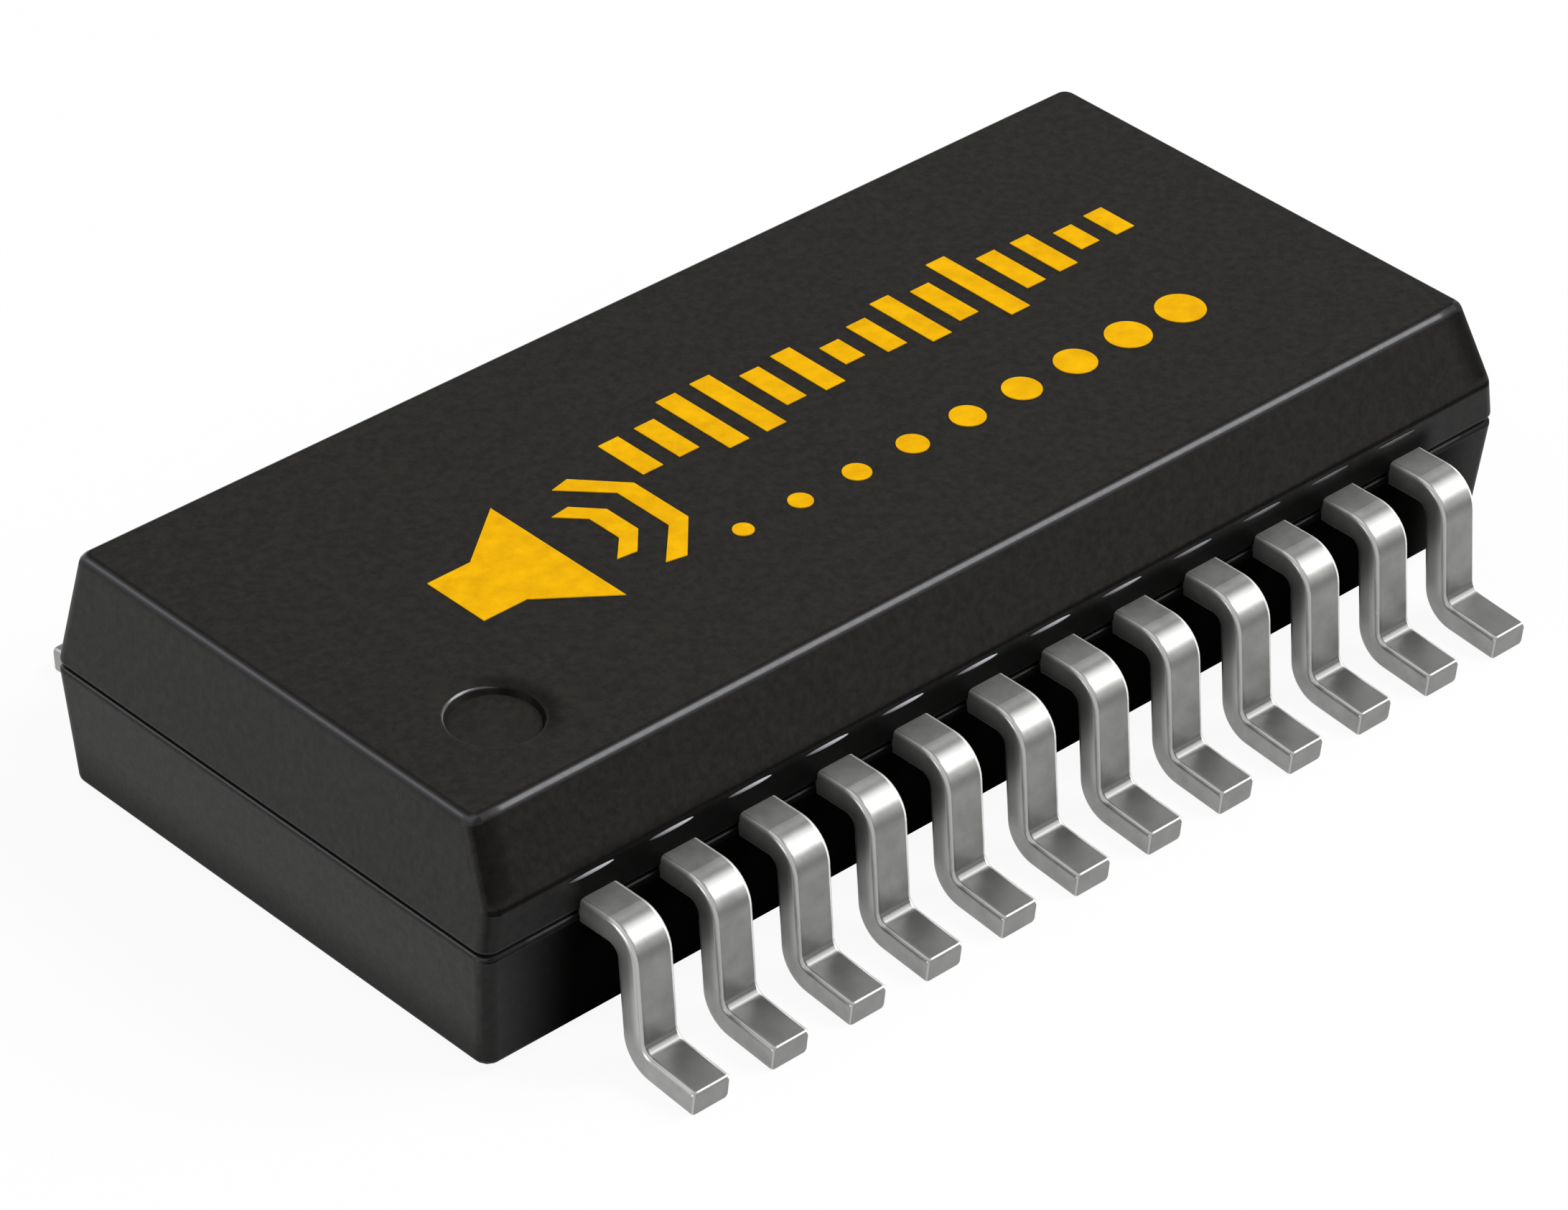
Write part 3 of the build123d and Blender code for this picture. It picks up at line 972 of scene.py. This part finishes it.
def softbox(name, direction, distance, size, power):
    """A rectangular lamp that faces the object from a direction."""
    lamp = bpy.data.lights.new(name, "AREA")
    lamp.shape = "RECTANGLE"
    lamp.size, lamp.size_y = size
    lamp.energy = power
    holder = bpy.data.objects.new(name, lamp)
    bpy.context.scene.collection.objects.link(holder)
    away = Vector(direction).normalized()
    holder.location = lamp_aim + away * distance
    holder.rotation_mode = "QUATERNION"
    holder.rotation_quaternion = away.to_track_quat("Z", "Y")


softbox(
    "key_softbox", direction=(0.57, -0.42, 0.70), distance=120 * mm, size=(74 * mm, 80 * mm), power=0.14
)
softbox(
    "overhead_softbox", direction=(-0.1, 0.15, 1.0), distance=150 * mm, size=(120 * mm, 120 * mm), power=0.03
)
softbox(
    "left_softbox", direction=(-0.95, 0.15, 0.12), distance=140 * mm, size=(60 * mm, 40 * mm), power=0.09
)
softbox(
    "ridge_softbox", direction=(-0.45, 0.59, 0.66), distance=120 * mm, size=(30 * mm, 30 * mm), power=0.009
)


# Camera
# It looks down on the front left corner from a little over 40 mm, through a long lens. Its place, its turn
# and its lens are those that set the leads and the edges of the part over those of the photo.

photo_width = 2184
photo_focal = 9249.4
sensor_width = 36
camera_azimuth = math.radians(-44.197)
camera_elevation = math.radians(34.749)
camera_roll = math.radians(1.651)
camera_target = Vector((-0.5514 * mm, -0.4626 * mm, 0.9 * mm))
camera_distance = 41.446 * mm

back = Vector((
    math.sin(camera_azimuth) * math.cos(camera_elevation),
    -math.cos(camera_azimuth) * math.cos(camera_elevation),
    math.sin(camera_elevation),
))
right = Vector((math.cos(camera_azimuth), math.sin(camera_azimuth), 0))
up = back.cross(right)
right, up = (
    right * math.cos(camera_roll) + up * math.sin(camera_roll),
    up * math.cos(camera_roll) - right * math.sin(camera_roll),
)
turn = Matrix((right, up, back)).transposed().to_4x4()
camera = bpy.data.objects.new("camera", bpy.data.cameras.new("camera"))
bpy.context.scene.collection.objects.link(camera)
camera.matrix_world = Matrix.Translation(camera_target + back * camera_distance) @ turn
camera.data.sensor_width = sensor_width
camera.data.lens = photo_focal / photo_width * sensor_width
camera.data.clip_start = 1 * mm
camera.data.clip_end = 2000 * mm
bpy.context.scene.camera = camera

bpy.context.scene.view_settings.view_transform = "Standard"
